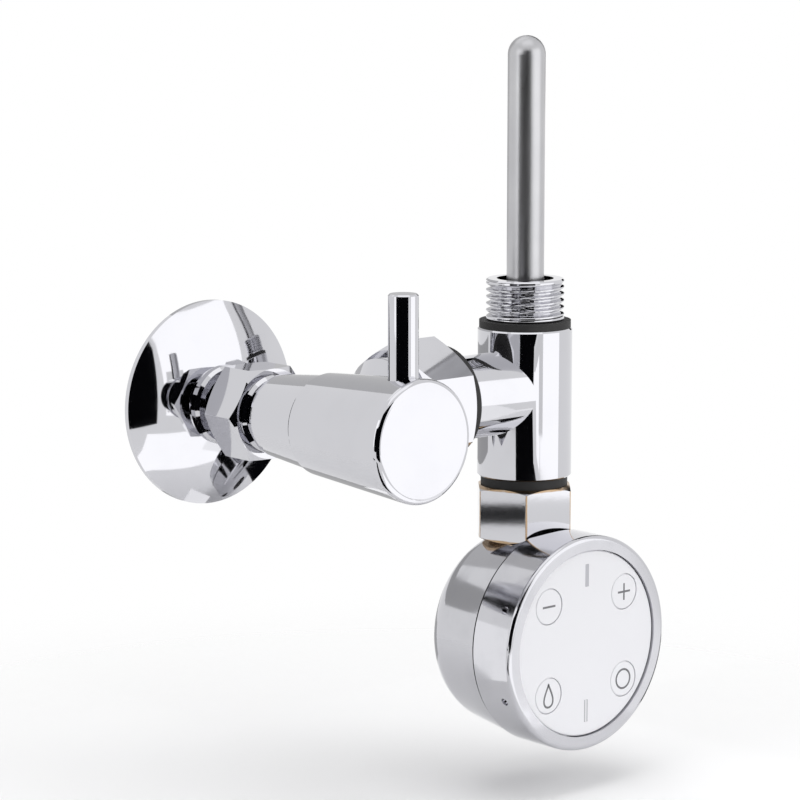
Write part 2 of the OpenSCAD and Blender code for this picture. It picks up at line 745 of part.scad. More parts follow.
// The tee: an upright tube, the radiator thread on top, a screwed socket below and a branch to the left
module tee_body() color("gainsboro") difference() {
    union() {
        on_tee(tee_z0) turned(tee_r, tee_z1 - tee_z0, edge_small);
        on_tee(tee_z1 - over) cylinder(r = radiator_r - undercut_depth, h = undercut_h + 2 * over);
        on_tee(thread_z0) turned(radiator_r, radiator_thread, edge_small);
        to_right(mouth_x) turned(branch_r, tee_reach, edge_small);
    }
    on_tee(tee_z0) hole(tee_bore_r, thread_top - tee_z0);
    on_tee(tee_z0 - over) cylinder(r = radiator_r + thread_gap, h = socket_depth + over);
    to_right(mouth_x - over) cylinder(r = tail_r + thread_gap, h = tail_thread + tail_seal_t + over);
    to_right(mouth_x) cylinder(r = outlet_r, h = tee_reach);
}

module radiator_seal() color("dimgray") on_tee(tee_z1)
    ring(tee_r - edge_small, radiator_r - undercut_depth + part_gap, radiator_seal_t);

module element_seal() color("black") on_tee(element_z)
    ring(tee_r - seal_inset, radiator_r + part_gap, element_seal_t);

// The element's brass fitting: thread, spanner hexagon and the stub that enters the controller
module element_fitting() color("gainsboro") on_tee() difference() {
    union() {
        translate([0, 0, element_z - over])
            turned(radiator_r, element_thread + element_seal_t + over, edge_small);
        translate([0, 0, hex_z]) rotate([0, 0, hex_turn]) hexagon(hex_af, hex_h);
        translate([0, 0, hex_z - stub_len]) turned(stub_r, stub_len + over, edge_small);
    }
    translate([0, 0, rod_z0]) cylinder(r = rod_r + press_gap, h = rod_len);
    translate([0, 0, hex_z - stub_len]) hole(lead_bore_r, stub_len + hex_h / 2);
    translate([0, 0, hex_z - over]) ring(stub_r + seal_inset + neck_seal_w, stub_r + seal_inset, over + edge);
    translate([0, 0, clip_groove_z])
        ring(stub_r + over, stub_r - groove_depth, element_clip_t + part_gap / 2);
}

module neck_seal() color("black") on_tee(hex_z)
    ring(stub_r + seal_inset + neck_seal_w - run_gap, stub_r + seal_inset + run_gap, edge - run_gap);

module element_clip() color("silver") on_tee(clip_groove_z + part_gap / 4) difference() {
    ring(stub_r + element_clip_w, stub_r - groove_depth + press_gap, element_clip_t);
    translate([-stub_r / 2, -stub_r - element_clip_w - over, -over])
        cube([stub_r, stub_r + element_clip_w + over, element_clip_t + 2 * over]);
}

// The heating rod: a steel sheath with a round end, closed over its core
module heater_sheath() color("lightsteelblue") on_tee() difference() {
    union() {
        translate([0, 0, rod_z0]) cylinder(r = rod_r, h = rod_z1 - rod_r - rod_z0);
        translate([0, 0, rod_z1 - rod_r]) sphere(rod_r);
    }
    translate([0, 0, rod_z0 - over]) cylinder(r = rod_r - rod_wall, h = core_z1 + core_gap - rod_z0 + over);
}

module heater_core() color("seashell") on_tee() difference() {
    translate([0, 0, core_z0]) cylinder(r = core_r, h = core_z1 - core_z0);
    translate([0, probe_set, core_z0 - over])
        cylinder(r = probe_r + part_gap, h = core_z1 - core_z0 - probe_sink + over);
    for (side = [-1, 1]) translate([side * pin_set, 0, core_z0 - over])
        cylinder(r = pin_r + part_gap, h = pin_grip + over);
}

module temperature_probe() color("silver") on_tee() translate([0, probe_set, rod_z0])
    turned(probe_r, core_z1 - probe_sink - part_gap - rod_z0, edge_small);

module cold_pins() color("silver") on_tee() for (side = [-1, 1])
    translate([side * pin_set, 0, drum_z + power_z + power_h / 2])
        cylinder(r = pin_r, h = core_z0 + pin_grip - part_gap - drum_z - power_z - power_h / 2);

module spade_terminals() color("goldenrod") for (side = [-1, 1])
    translate([tee_x + side * pin_set - blade_t / 2, -power_d0, drum_z + power_z + power_h / 2 - blade_h])
        cube([blade_t, power_d0 - outlet_d + pin_r, blade_h]);

module at_screws() for (a = screw_angles) rotate([0, 0, a]) translate([screw_circle, 0, 0]) children();

module at_board_screws() for (a = small_angles) rotate([0, 0, a]) translate([small_circle, 0, 0]) children();

module at_power_posts() for (sx = [-1, 1], sy = [-1, 1])
    translate([sx * power_post_x, power_z + sy * power_post_y, 0]) children();

// The block of solid casing that carries the spanner hexagon
module neck_block() on_tee(neck_block_z) cylinder(r = neck_block_r, h = drum_r);

// The hollow of the rear casing, with room for the clip under the neck block, less the posts for the screws
// and the power board
module rear_cavity() difference() {
    union() {
        translate([tee_x, -rear_d1 - over, drum_z]) rotate([-90, 0, 0]) {
            translate([0, 0, over]) rotate_extrude() polygon([
                [0, 0], [cavity_r, 0], [cavity_r - drum_taper, cavity_h - cavity_edge],
                [cavity_r - drum_taper - cavity_edge, cavity_h], [0, cavity_h]]);
            cylinder(r = cavity_r, h = over + part_gap);
        }
        on_tee(clip_groove_z - clip_room) cylinder(r = stub_r + element_clip_w + clip_room, h = stub_floor);
    }
    neck_block();
    on_drum(drum_d0) at_screws() cylinder(r = screw_post_r, h = rear_d1 - drum_d0);
    on_drum(drum_d0) at_power_posts() cylinder(r = power_post_r, h = power_d0 - drum_d0);
}

// The saddle cut in the controller's top for the spanner hexagon, and the hole for the stub below it
module hex_pocket() {
    on_tee(hex_z) cylinder(r = pocket_r, h = drum_r);
    on_tee(neck_block_z - over) cylinder(r = stub_r + part_gap, h = stub_floor + 2 * over);
}

// The rear casing: a drum with a rounded back, a saddle for the spanner hexagon and four screw posts
module rear_casing() color("gainsboro") difference() {
    translate([tee_x, -rear_d1, drum_z]) rotate([-90, 0, 0]) rotate_extrude()
        rounded_cone(seam_r, seam_r - drum_taper, rear_d1 - drum_d0, back_round);
    rear_cavity();
    hex_pocket();
    on_drum(drum_d0 - over) at_screws()
        cylinder(r = screw_head_r + screw_gap, h = screw_head_d + screw_head_t - drum_d0 + over);
    on_drum(drum_d0) at_screws() cylinder(r = screw_r + screw_gap, h = rear_d1 - drum_d0 + over);
    on_drum(power_d0 - small_bite) at_power_posts()
        cylinder(r = small_screw_r + press_gap, h = small_bite + over);
    on_drum(drum_d0 - over) translate([0, bush_y, 0])
        cylinder(r = bush_r + bush_gap, h = shell_wall + 2 * over);
}

module casing_gasket() color("black") difference() {
    on_drum(rear_d1) ring(seam_r - gasket_sink, seam_r - shell_wall, gasket_t);
    hex_pocket();
}

// The front casing: a ring with screw posts, a rib for the control board and a ledge for the face
module front_casing() color("gainsboro") difference() {
    union() {
        on_drum(front_d0) ring(drum_r, casing_r, bezel_d0 - front_d0);
        intersection() {
            neck_block();
            on_drum(front_d0) cylinder(r = drum_r - edge_small, h = board_d0 - front_d0);
        }
        on_drum(front_d0) intersection() {
            at_screws() {
                cylinder(r = screw_post_r, h = screw_bite + edge);
                translate([0, -web_t / 2, 0])
                    cube([drum_r - screw_circle - edge_small, web_t, screw_bite + edge]);
            }
            cylinder(r = drum_r - edge_small, h = screw_bite + over);
        }
        on_drum(face_d0 - ledge_t) ring(drum_r - edge_small, face_r - ledge_w, ledge_t);
        on_drum(board_d1) ring(drum_r - edge_small, board_r - rib_w, rib_t);
        on_drum(board_d1) at_board_screws() cylinder(r = small_post_r, h = small_bite);
    }
    hex_pocket();
    on_drum(front_d0 - over) at_screws() cylinder(r = screw_r + press_gap, h = screw_bite + over);
    on_drum(board_d1 - over) at_board_screws()
        cylinder(r = small_screw_r + press_gap, h = small_bite + over - edge_small);
    on_drum(clip_dot_d) for (side = [0, 180], a = [-clip_dot_angle, clip_dot_angle])
        rotate([0, 0, side + a]) translate([drum_r - clip_dot_depth, 0, 0]) rotate([0, 90, 0])
            cylinder(r = clip_dot_r, h = over + clip_dot_depth);
}

module casing_screws() color("silver") on_drum(screw_head_d) at_screws() difference() {
    union() {
        turned(screw_head_r, screw_head_t, edge_small);
        translate([0, 0, edge])
            turned(screw_r, front_d0 + screw_bite - part_gap - screw_head_d - edge, edge_small);
    }
    for (a = [0, 90]) rotate([0, 0, a]) translate([-screw_slot_len / 2, -screw_slot / 2, -over])
        cube([screw_slot_len, screw_slot, over + screw_slot]);
}

module cable_bush() color("black") on_drum(drum_d0) translate([0, bush_y, 0]) difference() {
    union() {
        translate([0, 0, -bush_flange_t]) turned(bush_r + bush_flange, bush_flange_t, edge_small);
        translate([0, 0, -edge_small]) cylinder(r = bush_r, h = shell_wall + bush_flange_t + edge_small);
        translate([0, 0, shell_wall + part_gap])
            turned(bush_r + bush_lip, bush_flange_t - part_gap, edge_small);
    }
    translate([0, 0, -bush_flange_t]) hole(cable_bore / 2, shell_wall + 2 * bush_flange_t);
}

module bezel() color("gainsboro") on_drum(bezel_d0) difference() {
    rotate_extrude() rounded_cone(drum_r, drum_r, bezel_h, bezel_round);
    hole(bezel_r, bezel_h);
}

function key_place(a) = [key_circle * cos(a), key_circle * sin(a), 0];
key_angles = [180 - key_angle, key_angle, 180 + key_angle, -key_angle];

module guide_slot(grow, h) for (a = [90, 270]) rotate([0, 0, a])
    translate([key_circle - guide_len / 2 - grow, -guide_w / 2 - grow, 0])
        cube([guide_len + 2 * grow, guide_w + 2 * grow, h]);

module face_panel() color("whitesmoke") on_drum(face_d0) difference() {
    turned(face_r, face_t, key_corner);
    for (a = key_angles) translate(key_place(a)) hole(key_r + key_gap, face_t);
    translate([0, 0, -over]) guide_slot(guide_gap, face_t + 2 * over);
}

// A round key, flush with the face, held from behind by its flange
module key(a) color("whitesmoke") on_drum(key_d0) translate(key_place(a)) {
    turned(key_r + key_flange, key_flange_t, key_corner);
    turned(key_r, face_d1 - key_d0, key_corner);
}

module minus_key() key(key_angles[0]);
module plus_key() key(key_angles[1]);
module boost_key() key(key_angles[2]);
module power_key() key(key_angles[3]);

module light_guides() color("lightgray") on_drum(board_d1 + guide_lift)
    guide_slot(0, face_d1 - board_d1 - guide_lift);

module control_board() color("seagreen") on_drum(board_d0) difference() {
    cylinder(r = board_r, h = board_t);
    at_board_screws() hole(small_screw_r + screw_gap, board_t);
}

module key_switches() color("dimgray") on_drum(board_d1) for (a = key_angles) translate(key_place(a)) {
    translate([-switch_side / 2, -switch_side / 2, 0]) cube([switch_side, switch_side, switch_h]);
    cylinder(r = plunger_r, h = switch_h + plunger_h);
}

module small_screw(grip) {
    translate([0, 0, -small_head_t]) turned(small_head_r, small_head_t, edge_small);
    translate([0, 0, -edge_small]) cylinder(r = small_screw_r, h = grip + small_bite - edge);
}

// Three screws hold the control board from behind, four hold the power board from the front
module board_screws() color("silver") {
    on_drum(board_d0) at_board_screws() small_screw(board_t);
    on_drum(power_d0 + power_t) at_power_posts() mirror([0, 0, 1]) small_screw(power_t);
}

module power_board() color("seagreen") on_drum(power_d0) difference() {
    translate([-power_w / 2, power_z - power_h / 2, 0]) cube([power_w, power_h, power_t]);
    at_power_posts() hole(small_screw_r + screw_gap, power_t);
}

// Parts on the back of the power board stand towards the wall
module on_power_board(at, size) on_drum(power_d0 - size[2])
    translate([at[0] - size[0] / 2, power_z + at[1] - size[1] / 2, 0]) children();

module relay() color("black") on_power_board(relay_at, relay_size) {
    translate([relay_step, relay_step, 0])
        cube([relay_size[0] - 2 * relay_step, relay_size[1] - 2 * relay_step, relay_size[2]]);
    translate([0, 0, relay_step]) cube([relay_size[0], relay_size[1], relay_size[2] - 2 * relay_step]);
}

module terminal_block() color("gray") on_power_board(block_at, block_size) difference() {
    cube(block_size);
    for (i = [1, 3]) translate([block_size[0] / 2, block_size[1] * i / 4, -over])
        cylinder(r = block_hole_r, h = block_size[2] / 2 + over);
}

wall_rose();
supply_pipe();
compression_nut();
olive();
valve_body();
plug();
plug_washer();
bonnet();
bonnet_seal();
spindle();
spindle_seals();
spindle_clip();
head_insert();
head_cap();
lever_pin();
grub_screw();
union_nut();
union_seal();
union_tail();
tail_seal();
tee_body();
radiator_seal();
element_seal();
element_fitting();
neck_seal();
element_clip();
heater_sheath();
heater_core();
temperature_probe();
cold_pins();
spade_terminals();
rear_casing();
casing_gasket();
front_casing();
casing_screws();
cable_bush();
bezel();
face_panel();
minus_key();
plus_key();
boost_key();
power_key();
light_guides();
control_board();
key_switches();
board_screws();
power_board();
relay();
terminal_block();
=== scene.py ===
"""Looks of the radiator valve set: plated, brass, steel, rubber and plastic finishes, screw threads,
the lip of a seal and the printed symbols on the keys."""

import math

import bpy
import numpy as np
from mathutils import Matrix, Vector


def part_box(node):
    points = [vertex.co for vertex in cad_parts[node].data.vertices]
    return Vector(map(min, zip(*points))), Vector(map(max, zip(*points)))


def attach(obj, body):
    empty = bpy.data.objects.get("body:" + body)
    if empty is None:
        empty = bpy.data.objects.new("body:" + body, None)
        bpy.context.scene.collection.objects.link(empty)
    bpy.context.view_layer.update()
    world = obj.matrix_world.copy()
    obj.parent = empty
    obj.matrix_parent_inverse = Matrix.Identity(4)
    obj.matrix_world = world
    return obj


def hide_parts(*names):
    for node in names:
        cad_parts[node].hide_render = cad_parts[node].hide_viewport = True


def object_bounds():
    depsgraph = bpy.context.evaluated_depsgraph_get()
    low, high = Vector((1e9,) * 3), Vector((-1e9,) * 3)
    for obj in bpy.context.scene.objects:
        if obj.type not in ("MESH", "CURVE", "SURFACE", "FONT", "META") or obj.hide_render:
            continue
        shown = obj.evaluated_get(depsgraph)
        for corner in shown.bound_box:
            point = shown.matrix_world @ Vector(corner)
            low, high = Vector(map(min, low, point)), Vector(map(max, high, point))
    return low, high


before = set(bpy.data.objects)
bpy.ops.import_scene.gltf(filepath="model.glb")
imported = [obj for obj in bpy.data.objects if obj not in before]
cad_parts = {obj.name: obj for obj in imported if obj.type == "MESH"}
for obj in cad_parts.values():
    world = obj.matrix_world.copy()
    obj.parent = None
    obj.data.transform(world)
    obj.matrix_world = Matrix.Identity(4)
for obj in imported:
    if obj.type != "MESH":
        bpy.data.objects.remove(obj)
cad_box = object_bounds()
MM = 0.001


def middle(node):
    """Middle of a CAD node's box, as a vector in metres."""
    low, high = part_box(node)
    return (low + high) / 2


# Axes and heights read from the frame
TEE = middle("heater_sheath")
OUTLET = middle("union_tail")
FACE = middle("face_panel")
HEX_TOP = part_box("element_seal")[0].z
HEX_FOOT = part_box("neck_seal")[0].z

# Pipe threads of 14 turns to the inch: crest and root are each flat over a share of the flank
PITCH = 1.814 * MM
THREAD_DEPTH = 1.1 * MM
THREAD_FLAT = 0.12
ROWS_A_TURN = 16

# A faceted node's box is a little lopsided, so an axis read from it is only this close
AXIS_SLACK = 0.02 * MM
# Points this close to the end of a cylinder lie on its end
END_SLACK = 0.001 * MM
# Corner points that agree to this many decimals of a metre are one point
MERGE_DIGITS = 7

# The seal's lip behind the union nut: its foot clears the tail and its rim stays inside the nut's flats
LIP_FOOT = 10.6 * MM
LIP_INSET = 0.3 * MM
LIP_EDGE = 0.35 * MM
LIP_GAP = 0.1 * MM
LIP_STEPS = 128
LIP_EDGE_STEPS = 7

# Printed symbols: how far the ink reaches to each side of a key's front, its lines' width, and the shapes
INK = 0.02 * MM
LINE = 0.55 * MM
SYMBOL_ARM = 2.3 * MM
DROP_WIDE = 2.35 * MM
DROP_TALL = 3.1 * MM
DROP_POINT = 1.6
RING_REACH = 2.6 * MM
SYMBOL_STEPS = 72

# The camera stands to the left of the set and a little above it, far off with a long lens
VIEW_AZIMUTH = -41.5
VIEW_ELEVATION = 9.0
LENS = 135.0
SENSOR = 36.0
VIEW_FILL = 0.9

# The floor lies a little below the set, and fades out over this stretch from its middle
FLOOR_GAP = 12 * MM
FLOOR = cad_box[0].z - FLOOR_GAP
FLOOR_WIDTH = 2.0
FLOOR_FADE = (0.06, 0.25)
# Cards on the floor lie this far above it
CARD_LIFT = 1 * MM

# Brightness of the world on dull surfaces, and to the camera and in the chrome
WORLD_FILL = 0.5
WORLD_SEEN = 1.0
WHITE = (1.0, 1.0, 1.0, 1.0)

# How much each finer step of a noise pattern adds
NOISE_ROUGHNESS = 0.55

# Soft lamps round the set, each with a sheet that the chrome shows in its place: azimuth and elevation in
# degrees, distance, width and height in metres, and the brightness of lamp and sheet, where 1 is white
LAMPS = {
    "right_box": (24, 12, 0.42, 0.42, 0.40, 1.6, 1.6),
    "left_box": (-92, 14, 0.70, 0.40, 0.50, 1.6, 1.55),
    "top_box": (-20, 78, 0.80, 0.70, 0.50, 2.2, 1.4),
    "back_box": (170, 62, 0.80, 0.60, 0.40, 1.4, 1.25),
}

# Places that the hung cards face
FRONT_TALL = 0.36
TEE_FRONT = Vector((TEE.x, TEE.y, FLOOR + FRONT_TALL / 2))
ABOVE_ROSE = Vector((0, 0, 30 * MM))
HEXAGON = Vector((TEE.x, TEE.y, (HEX_TOP + HEX_FOOT) / 2 + 2 * MM))
RING_SIDE = middle("front_casing") - Vector((28 * MM, 4 * MM, 0))
BEHIND_SET = Vector((52.5 * MM, 55 * MM, -18 * MM))

# Hung cards: what they face, azimuth and elevation in degrees, distance, width and height in metres, glow
HUNG_CARDS = {
    # Dark bands of the tee, the rose and the rod
    "front_card": (TEE_FRONT, -39, 0, 0.33, 0.30, FRONT_TALL, 0.0),
    # Dark bands of the lever and the rod
    "side_card": (ABOVE_ROSE, -66, 0, 0.33, 0.20, 0.20, 0.0),
    # Dark band across the hexagon
    "strip_card": (HEXAGON, -96, -11, 0.25, 0.12, 0.007, 0.0),
    # Dark edges of the tee and of the seal's lip
    "back_card": (OUTLET, 118, 28, 0.30, 0.12, 0.18, 0.0),
    # Pale patch of the tee, and of the nut from the front
    "pale_card": (OUTLET, 0, 0, 0.30, 0.06, 0.12, 0.9),
    # Grey top of the head and the drum
    "ridge_card": (middle("head_cap"), 150, 25, 0.25, 0.16, 0.20, 0.62),
    # White band of the drum's ring
    "ring_sheet": (RING_SIDE, -138.5, -9, 0.05, 0.014, 0.05, 1.25),
    # Grey side of the drum, from a card that stands at the place itself
    "shade_card": (BEHIND_SET, 0, 0, 0.0, 0.115, 0.036, 0.45),
}

# Floor cards: place across and in depth, width and length in metres, turn in degrees, glow
FLOOR_CARDS = {
    # White foot of the rose
    "low_sheet": (0.045, -0.200, 0.17, 0.16, 0.0, 1.6),
    # Dark foot of the rose
    "low_card": (0.195, -0.045, 0.11, 0.10, 0.0, 0.0),
    # Grey underside of the head
    "keel_card": (0.145, 0.200, 0.20, 0.28, 0.0, 0.5),
    # White rim and face of the drum
    "bezel_sheet": (0.246, -0.277, 0.38, 0.10, -48.5, 1.25),
    # Dark band behind the head
    "neck_card": (-0.106, -0.114, 0.18, 0.06, 32.6, 0.0),
}


class Wire:
    """A shader socket: arithmetic on it adds Math nodes to its recipe."""

    def __init__(self, recipe, socket):
        self.recipe = recipe
        self.socket = socket

    def __add__(self, other):
        return self.recipe.math("ADD", self, other)

    def __radd__(self, other):
        return self.recipe.math("ADD", other, self)

    def __sub__(self, other):
        return self.recipe.math("SUBTRACT", self, other)

    def __rsub__(self, other):
        return self.recipe.math("SUBTRACT", other, self)

    def __mul__(self, other):
        return self.recipe.math("MULTIPLY", self, other)

    def __rmul__(self, other):
        return self.recipe.math("MULTIPLY", other, self)

    def __pow__(self, other):
        return self.recipe.math("POWER", self, other)

    def __abs__(self):
        return self.recipe.math("ABSOLUTE", self)

    def ease(self, start, end):
        """0 before start and 1 after end, with a smooth step between them."""
        return self.recipe.node("MapRange", {"interpolation_type": "SMOOTHSTEP"},
                                {"Value": self, "From Min": start, "From Max": end})


class Recipe:
    """One node tree being built, for a material or for the world."""

    # Socket numbers of a Mix node that blends colours
    MIX_FACTOR, MIX_FIRST, MIX_SECOND, MIX_COLOUR = 0, 6, 7, 2

    def __init__(self, owner):
        owner.use_nodes = True
        self.owner = owner
        self.tree = owner.node_tree
        self.tree.nodes.clear()

    def node(self, kind, settings=None, inputs=None, out=0):
        """Adds one node: its settings first, then values or links of its inputs, by name or by number."""
        made = self.tree.nodes.new("ShaderNode" + kind)
        for key, value in (settings or {}).items():
            setattr(made, key, value)
        for key, value in (inputs or {}).items():
            if isinstance(value, Wire):
                self.tree.links.new(value.socket, made.inputs[key])
            else:
                made.inputs[key].default_value = value
        return Wire(self, made.outputs[out]) if made.outputs else None

    def math(self, operation, *values):
        """One Math node on those values."""
        return self.node("Math", {"operation": operation}, dict(enumerate(values)))

    def place(self, centre=(0, 0, 0), stretch=(1, 1, 1)):
        """Object coordinates about a centre, stretched."""
        moved = self.node("VectorMath", {"operation": "SUBTRACT"},
                          {0: self.node("TexCoord", out="Object"), 1: centre})
        return self.node("Mapping", {}, {"Vector": moved, "Scale": stretch})

    def split(self, vector):
        """The three parts of a vector."""
        return [self.node("SeparateXYZ", {}, {0: vector}, out) for out in range(3)]

    def noise(self, vector, scale, detail=3.0):
        """A cloudy pattern from 0 to 1, with about that many cells to the metre."""
        return self.node("TexNoise", {}, {"Vector": vector, "Scale": scale, "Detail": detail,
                                          "Roughness": NOISE_ROUGHNESS})

    def blend(self, factor, first, second):
        """Colour that goes from first to second with the factor."""
        first, second = (colour if isinstance(colour, Wire) else (*colour, 1.0) for colour in (first, second))
        return self.node("Mix", {"data_type": "RGBA"},
                         {self.MIX_FACTOR: factor, self.MIX_FIRST: first, self.MIX_SECOND: second},
                         self.MIX_COLOUR)

    def bump(self, height, strength, depth):
        """Normal of a surface with that height, from 0 to 1, over a depth in metres."""
        return self.node("Bump", {}, {"Height": height, "Strength": strength, "Distance": depth})

    def surface(self, **inputs):
        """Closes the recipe with a Principled shader. Words joined by _ are its socket names."""
        named = {key.replace("_", " ").title().replace("Ior", "IOR"): value for key, value in inputs.items()}
        shader = self.node("BsdfPrincipled", {}, named)
        self.node("OutputMaterial", {}, {"Surface": shader})
        return self.owner


def recipe(name):
    """The empty recipe of a new material."""
    return Recipe(bpy.data.materials.new(name))


# Colour of the plate, shared by the chrome and the worn hexagon
PLATE = (0.60, 0.60, 0.63)


def chrome(name):
    """Bright nickel-chrome plate: faint smears in the gloss and a very slight polish ripple."""
    r = recipe(name)
    at = r.place()
    smear = r.noise(at, scale=55.0, detail=4.0).ease(0.42, 0.72)
    speck = r.noise(at, scale=900.0, detail=2.0).ease(0.62, 0.74)
    ripple = r.noise(at, scale=140.0, detail=2.0)
    smeared = tuple(0.97 * part for part in PLATE)
    return r.surface(base_color=r.blend(smear, PLATE, smeared), metallic=1.0,
                     roughness=0.04 + 0.04 * smear + 0.03 * speck,
                     normal=r.bump(ripple, strength=0.03, depth=0.1 * MM))


def worn_hexagon(name):
    """Chrome that has worn back to brass along the corners and the rims of the spanner hexagon."""
    bare = (0.47, 0.34, 0.22)
    corner_starts, corner_full = 13.7 * MM, 14.1 * MM
    rim_full, rim_ends = 0.3 * MM, 1.1 * MM
    r = recipe(name)
    across, deep, up = r.split(r.place(centre=(TEE.x, TEE.y, 0)))
    wear = r.noise(r.place(), scale=420.0)
    corner = ((across * across + deep * deep) ** 0.5).ease(corner_starts, corner_full)
    rim = 1 - abs(up - HEX_TOP).ease(rim_full, rim_ends)
    foot = 1 - abs(up - HEX_FOOT).ease(rim_full, rim_ends)
    brass_mask = ((rim + foot + corner) * (0.5 + 0.9 * wear)).ease(0.35, 0.95)
    return r.surface(base_color=r.blend(brass_mask, PLATE, bare), metallic=1.0,
                     roughness=0.05 + 0.14 * brass_mask,
                     normal=r.bump(wear, strength=0.03, depth=0.06 * MM))


def brass(name):
    """Turned brass with fine lathe lines round the pipe's axis and a little tarnish."""
    bright, dull = (0.78, 0.55, 0.24), (0.55, 0.36, 0.14)
    r = recipe(name)
    at = r.place()
    lines = r.node("TexWave", {"wave_type": "BANDS", "bands_direction": "Y"},
                   {"Vector": at, "Scale": 900.0, "Distortion": 1.5, "Detail": 2.0})
    tarnish = r.noise(at, scale=160.0, detail=4.0)
    return r.surface(base_color=r.blend(tarnish, bright, dull), metallic=1.0,
                     roughness=0.18 + 0.2 * tarnish,
                     normal=r.bump(lines, strength=0.12, depth=0.05 * MM))


def drawn_steel(name):
    """Stainless tube: long drawn marks along the rod and cloudy dull patches."""
    bright, dull = (0.56, 0.56, 0.57), (0.43, 0.43, 0.45)
    r = recipe(name)
    marks = r.noise(r.place(centre=TEE, stretch=(1, 1, 0.02)), scale=1500.0)
    cloud = r.noise(r.place(), scale=70.0)
    return r.surface(base_color=r.blend(cloud, bright, dull), metallic=1.0,
                     roughness=0.2 + 0.14 * marks + 0.08 * cloud,
                     normal=r.bump(marks, strength=0.15, depth=0.03 * MM))


def plated_plastic(name):
    """Chrome on a moulded casing: softer gloss than on metal, with a slight moulding flow."""
    clean, smeared = (0.57, 0.57, 0.60), (0.53, 0.53, 0.56)
    r = recipe(name)
    at = r.place()
    flow = r.noise(at, scale=40.0, detail=2.0)
    smear = r.noise(at, scale=85.0, detail=4.0).ease(0.45, 0.75)
    return r.surface(base_color=r.blend(smear, clean, smeared), metallic=1.0,
                     roughness=0.09 + 0.07 * smear,
                     normal=r.bump(flow, strength=0.05, depth=0.4 * MM))


def moulded(name, colour, shade, gloss=0.42, grain=2600.0, depth=0.02 * MM):
    """Moulded plastic or pressed powder: a fine grain, with slow changes of tone."""
    r = recipe(name)
    at = r.place()
    tone = r.noise(at, scale=45.0)
    pits = r.noise(at, scale=grain, detail=2.0)
    return r.surface(base_color=r.blend(tone, colour, shade), roughness=gloss + 0.1 * pits,
                     normal=r.bump(pits, strength=0.1, depth=depth))


def light_guide(name):
    """Smooth plastic over the lamps: the upper bar grey, the lower one pale with grey sides."""
    grey, pale, pale_side = (0.46, 0.46, 0.50), (0.74, 0.74, 0.77), (0.42, 0.42, 0.45)
    core, edge = 0.2 * MM, 0.36 * MM
    r = recipe(name)
    across, _, up = r.split(r.place(centre=FACE))
    side = abs(across).ease(core, edge)
    lower = 1 - up.ease(-1 * MM, 1 * MM)
    grain = r.noise(r.place(), scale=500.0)
    return r.surface(base_color=r.blend(lower, grey, r.blend(side, pale, pale_side)),
                     roughness=0.15 + 0.1 * grain)


def rubber(name):
    """Black seal rubber with a dusty bloom."""
    black, dusty = (0.012, 0.012, 0.013), (0.035, 0.034, 0.034)
    r = recipe(name)
    at = r.place()
    bloom = r.noise(at, scale=300.0, detail=4.0)
    pores = r.noise(at, scale=2200.0, detail=2.0)
    return r.surface(base_color=r.blend(bloom, black, dusty), roughness=0.5 + 0.2 * bloom,
                     specular_ior_level=0.25, normal=r.bump(pores, strength=0.2, depth=0.03 * MM))


def circuit_board(name):
    """Green lacquered board with a faint weave and paler lines of copper under the lacquer."""
    green, pale_green, copper_green = (0.015, 0.11, 0.045), (0.02, 0.13, 0.055), (0.05, 0.22, 0.07)
    r = recipe(name)
    at = r.place()
    weave = r.node("TexChecker", {}, {"Vector": at, "Scale": 1400.0}, "Fac")
    tracks = r.node("TexBrick", {"offset": 0.5}, {"Vector": at, "Scale": 120.0, "Mortar Size": 0.05}, "Fac")
    return r.surface(base_color=r.blend(tracks, r.blend(weave, green, pale_green), copper_green),
                     roughness=0.3 + 0.1 * weave)


CHROME = chrome("bright_chrome")
INK_FINISH = moulded("symbol_ink", (0.13, 0.13, 0.14), (0.16, 0.16, 0.17), gloss=0.5)

# The finish of each material slot in the record
FINISHES = {
    "chrome": CHROME,
    "plated_brass": worn_hexagon("worn_chrome_hexagon"),
    "plated_plastic": plated_plastic("plated_casing"),
    "brass": brass("turned_brass"),
    "steel": drawn_steel("drawn_steel"),
    "seal_rubber": rubber("seal_rubber"),
    "nylon": moulded("nylon", (0.72, 0.68, 0.58), (0.66, 0.62, 0.52)),
    "magnesia": moulded("magnesia", (0.80, 0.76, 0.70), (0.70, 0.65, 0.58), 0.8, 900.0, 0.1 * MM),
    "white_plastic": moulded("white_face", (0.78, 0.78, 0.81), (0.76, 0.76, 0.79), gloss=0.35),
    "light_guide": light_guide("light_guide"),
    "circuit_board": circuit_board("circuit_board"),
    "black_plastic": moulded("black_plastic", (0.015, 0.015, 0.016), (0.025, 0.025, 0.026)),
    "grey_plastic": moulded("grey_plastic", (0.25, 0.26, 0.27), (0.20, 0.21, 0.22)),
}


def dress_nodes():
    """Gives each CAD node the finish of the record's slot that it carries."""
    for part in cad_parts.values():
        for held in part.material_slots:
            held.material = FINISHES[held.material.name.split(".")[0]]


def add_object(name, data):
    """A new object in the scene, for a mesh, a lamp or a camera."""
    made = bpy.data.objects.new(name, data)
    bpy.context.scene.collection.objects.link(made)
    return made


def smooth_mesh(name, points, faces, finish, crease=35.0):
    """A mesh object shaded smooth, but for edges sharper than the crease, in degrees."""
    mesh = bpy.data.meshes.new(name)
    mesh.from_pydata(points, [], faces)
    mesh.shade_smooth()
    mesh.set_sharp_from_angle(angle=math.radians(crease))
    mesh.materials.append(finish)
    return add_object(name, mesh)


